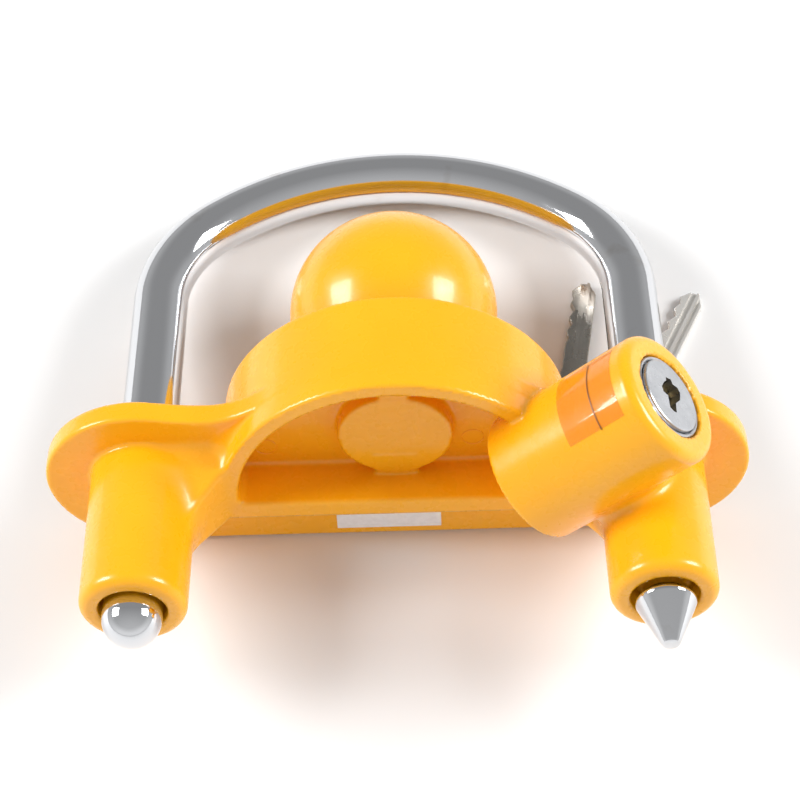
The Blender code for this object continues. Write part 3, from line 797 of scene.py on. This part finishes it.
plug_profile = [
    (0.0, 6.3),
    (5.3, 6.3),
    (5.3, 6.9),
    (4.7, 6.9),
    (4.7, 7.7),
    (PLUG_R, 7.7),
    (PLUG_R, PLUG_HEAD_BACK),
    (PLUG_HEAD_R, PLUG_HEAD_BACK),
    (PLUG_HEAD_R, PLUG_FACE - 0.35),
    (PLUG_HEAD_R - 0.08, PLUG_FACE - 0.12),
    (PLUG_HEAD_R - 0.3, PLUG_FACE),
    (0.0, PLUG_FACE),
]
plug_verts, plug_faces = turned(plug_profile)
plug = piece("plug", bore_to_world(plug_verts), plug_faces, ZINC, "plug", ("lock_plug",),
             sharp=CYLINDER_SHARP)
keyway = [(-1.2, 4.1), (0.5, 4.4), (0.9, 3.4), (2.5, 3.4), (3.2, 2.5), (2.9, 0.4), (1.2, -1.5), (1.1, -4.0),
          (0.1, -4.2), (-1.0, -3.8), (-1.1, -2.4), (-1.2, -0.8), (-2.6, -0.6), (-3.0, 0.6), (-2.1, 2.2),
          (-1.2, 3.2)]
cut_along_bore(plug, keyway, 8.2, 30.0)
for i in range(WAFER_COUNT):
    middle = WAFER_TOP - WAFER_PITCH * i
    cut_along_bore(plug, slot_outline(3.4, 7.0, WAFER_TURN), middle - SLOT_THICK / 2, middle + SLOT_THICK / 2)
smooth(plug.data, CYLINDER_SHARP)

# ---------------------------------------------------------------- stickers
label_outline = [(-14.0, -20.4), (9.4, -20.4), (9.4, -10.6), (-14.0, -10.6)]
label_verts, label_faces = prism(label_outline, -0.22, -0.03)
label_verts = np.column_stack([label_verts[:, 0], PLATE_FRONT_Y + label_verts[:, 2], label_verts[:, 1]])
piece("blank_label", lock_to_world(label_verts), label_faces, PAPER, "lock_body",
      ("number_label",))


def curved_patch(radius, thick, start, end, low, high):
    """A thin sheet bent round the housing, between two angles in degrees and two places along its axis."""
    steps = 40
    rows = 12
    verts, faces = [], []
    for r in (radius, radius + thick):
        for a in np.radians(np.linspace(start, end, steps + 1)):
            for h in np.linspace(low, high, rows + 1):
                verts.append((r * math.cos(a), r * math.sin(a), h))
    wide = rows + 1
    layer = (steps + 1) * wide
    for i in range(steps):
        for j in range(rows):
            a = i * wide + j
            faces.append((a, a + 1, a + 1 + wide, a + wide))
            faces.append((a + layer, a + wide + layer, a + 1 + wide + layer, a + 1 + layer))
    for i in range(steps):
        for j in (0, rows):
            a = i * wide + j
            faces.append((a, a + wide, a + wide + layer, a + layer))
    for j in range(rows):
        for i in (0, steps):
            a = i * wide + j
            faces.append((a, a + 1, a + 1 + layer, a + layer))
    return bore_to_world(verts), faces


film_verts, film_faces = curved_patch(HOUSING_R + 0.04, 0.12, 152.0, 220.0, FILM_FROM, FILM_TO)
piece("film", film_verts, film_faces, FILM, "lock_body", ("inspection_film",))
line_verts, line_faces = curved_patch(HOUSING_R + 0.17, 0.03, 156.0, 221.0, FILM_LINE, FILM_LINE + 0.25)
piece("film_line", line_verts, line_faces, PRINT, "lock_body")


# ---------------------------------------------------------------- keys
def key_shape():
    """A round bow and a blade, cut along its left edge."""
    bow = arc((0, 0), KEY_BOW_R, -245, 65, 56)
    tip = [(KEY_HALF, 30.0), (1.0, KEY_TIP), (-0.6, KEY_TIP)]
    cuts = [(-2.9, 30.4), (-2.2, 28.6), (-2.9, 26.8), (-1.8, 25.0), (-2.8, 22.8), (-2.0, 21.0), (-2.9, 19.0),
            (-2.4, 17.0), (-2.9, 15.0)]
    return bow + [(KEY_HALF, KEY_SHOULDER)] + tip + cuts + [(-KEY_HALF, KEY_SHOULDER)]


def table_edge():
    """Where the flange's back lower edge lies, in millimetres: the table under the lock."""
    edge = lock_to_world([[0.0, PLATE_BACK_Y, FLANGE_BOTTOM[2]]])[0] / MM
    return edge[1], edge[2]


def make_key(name, node, skin, x, along, turn):
    """A key lying on the table, its bow x to the right and along behind the flange, turned in degrees."""
    verts, faces = bevelled_prism(key_shape(), 0.0, KEY_THICK, KEY_EDGE)
    edge_y, table_z = table_edge()
    cos, sin = math.cos(math.radians(turn)), math.sin(math.radians(turn))

    def place(points):
        points = np.asarray(points, float)
        across = cos * points[:, 0] - sin * points[:, 1] + x
        back = sin * points[:, 0] + cos * points[:, 1] + edge_y + along
        return np.column_stack([across, back, points[:, 2] + table_z]) * MM

    key = piece(name, place(verts), faces, skin, node, (node,), sharp=20.0)
    hole_verts, hole_faces = turned([(0, -1.0), (2.1, -1.0), (2.1, 4.0), (0, 4.0)], 40)
    cut(key, place(hole_verts + np.array([0, -3.9, 0])), hole_faces)
    for left, right, low, high in ((-0.9, 0.5, 1.2, 4.0), (1.3, 2.1, 1.3, 4.0), (-0.4, 1.0, -2.0, 0.5)):
        groove = [(left, 11.5), (right, 11.5), (right, 40.0), (left, 40.0)]
        groove_verts, groove_faces = prism(groove, low, high)
        cut(key, place(groove_verts), groove_faces)
    for face in key.data.polygons:
        face.use_smooth = False


make_key("flat_key_1", "key_1", WORN_KEY, 40.4, 27.2, -9.9)
make_key("flat_key_2", "key_2", BRIGHT_KEY, 57.2, 26.6, -27.2)

# ---------------------------------------------------------------- carried-over inner parts
INNER_SKINS = {
    "plug_clip": SPRING,
    "crank_disc": STEEL,
    "latch_bolt": STEEL,
    "bolt_spring": SPRING,
    "retaining_pin": STEEL,
    "cross_hole_plug": PAINT,
}
for i in range(WAFER_COUNT):
    INNER_SKINS[f"wafer_{i + 1}"] = BRASS
for node, skin in INNER_SKINS.items():
    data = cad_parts[node].data
    data.materials.clear()
    data.materials.append(skin)

# ---------------------------------------------------------------- table, light and camera
FLOOR_Z = float(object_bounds()[0][2])
FLOOR_HALF = 3.0
LAMP_X = 0.83
LAMP_Y = 0.12
LAMP_Z = 0.60
LAMP_AIM = (0, 0.03, 0.01)
LAMP_SIDE = 0.42
LAMP_WATTS = 9.5
SWEEP_LIGHT = 0.50
CEILING_LIGHT = 0.33
FRONT_SHARE = 1.80


def make_floor():
    n = Nodes("paper_sweep")
    colour = n.ramp(n.noise(6.0, 2.0), [(0.3, (0.81, 0.81, 0.81)), (0.7, (0.83, 0.83, 0.83))])
    n.set(Roughness=0.6)
    return n.finish(colour)


floor_mesh = bpy.data.meshes.new("table")
floor_corners = [(FLOOR_HALF * a, FLOOR_HALF * b, FLOOR_Z) for a, b in ((-1, -1), (1, -1), (1, 1), (-1, 1))]
floor_mesh.from_pydata(floor_corners, [], [(0, 1, 2, 3)])
floor_mesh.materials.append(make_floor())
table = bpy.data.objects.new("table", floor_mesh)
bpy.context.scene.collection.objects.link(table)


def softbox(name, place):
    """A square lamp aimed at the lock."""
    data = bpy.data.lights.new(name, "AREA")
    data.shape = "RECTANGLE"
    data.size = LAMP_SIDE
    data.size_y = LAMP_SIDE
    data.energy = LAMP_WATTS
    lamp = bpy.data.objects.new(name, data)
    bpy.context.scene.collection.objects.link(lamp)
    lamp.location = place
    lamp.rotation_euler = (Vector(LAMP_AIM) - Vector(place)).to_track_quat("-Z", "Y").to_euler()


softbox("softbox_left", (-LAMP_X, LAMP_Y, LAMP_Z))
softbox("softbox_right", (LAMP_X, LAMP_Y, LAMP_Z))


def make_room():
    """A pale sweep round the table up to a dark ceiling, brighter on the side the lock's front faces."""
    world = bpy.data.worlds.new("room")
    world.use_nodes = True
    tree = world.node_tree
    coord = tree.nodes.new("ShaderNodeTexCoord")
    split = tree.nodes.new("ShaderNodeSeparateXYZ")
    tree.links.new(coord.outputs["Generated"], split.inputs["Vector"])

    def fade(axis, low, high, at_low, at_high, blend):
        node = tree.nodes.new("ShaderNodeMapRange")
        node.interpolation_type = blend
        for key, value in zip(("From Min", "From Max", "To Min", "To Max"), (low, high, at_low, at_high)):
            node.inputs[key].default_value = value
        tree.links.new(split.outputs[axis], node.inputs["Value"])
        return node.outputs["Result"]

    times = tree.nodes.new("ShaderNodeMath")
    times.operation = "MULTIPLY"
    tree.links.new(fade("Z", 0.12, 0.55, SWEEP_LIGHT, CEILING_LIGHT, "SMOOTHSTEP"), times.inputs[0])
    tree.links.new(fade("Y", -0.8, 0.3, FRONT_SHARE, 1.0, "LINEAR"), times.inputs[1])
    sky = tree.nodes["Background"]
    sky.inputs["Color"].default_value = (1.0, 1.0, 1.0, 1.0)
    tree.links.new(times.outputs["Value"], sky.inputs["Strength"])
    return world


bpy.context.scene.world = make_room()
bpy.context.scene.view_settings.view_transform = "Standard"

CAMERA_AT = np.array([8.27, -303.90, 334.62])
CAMERA_PITCH = math.radians(49.86)
CAMERA_YAW = math.radians(-1.49)
CAMERA_ROLL = math.radians(-2.78)
CAMERA_LENS = 87.76
ahead = np.array([
    math.sin(CAMERA_YAW) * math.cos(CAMERA_PITCH),
    math.cos(CAMERA_YAW) * math.cos(CAMERA_PITCH),
    -math.sin(CAMERA_PITCH),
])
level = np.array([math.cos(CAMERA_YAW), -math.sin(CAMERA_YAW), 0.0])
upright = np.cross(level, ahead)
right = math.cos(CAMERA_ROLL) * level + math.sin(CAMERA_ROLL) * upright
above = -math.sin(CAMERA_ROLL) * level + math.cos(CAMERA_ROLL) * upright
columns = [LEAN @ right, LEAN @ above, -(LEAN @ ahead)]
camera = bpy.data.objects.new("camera", bpy.data.cameras.new("camera"))
bpy.context.scene.collection.objects.link(camera)
camera.data.sensor_width = 36.0
camera.data.lens = CAMERA_LENS
camera.data.clip_start = 0.01
pose = Matrix([[columns[c][r] for c in range(3)] for r in range(3)]).to_4x4()
pose.translation = Vector(lock_to_world([CAMERA_AT])[0])
camera.matrix_world = pose
bpy.context.scene.camera = camera
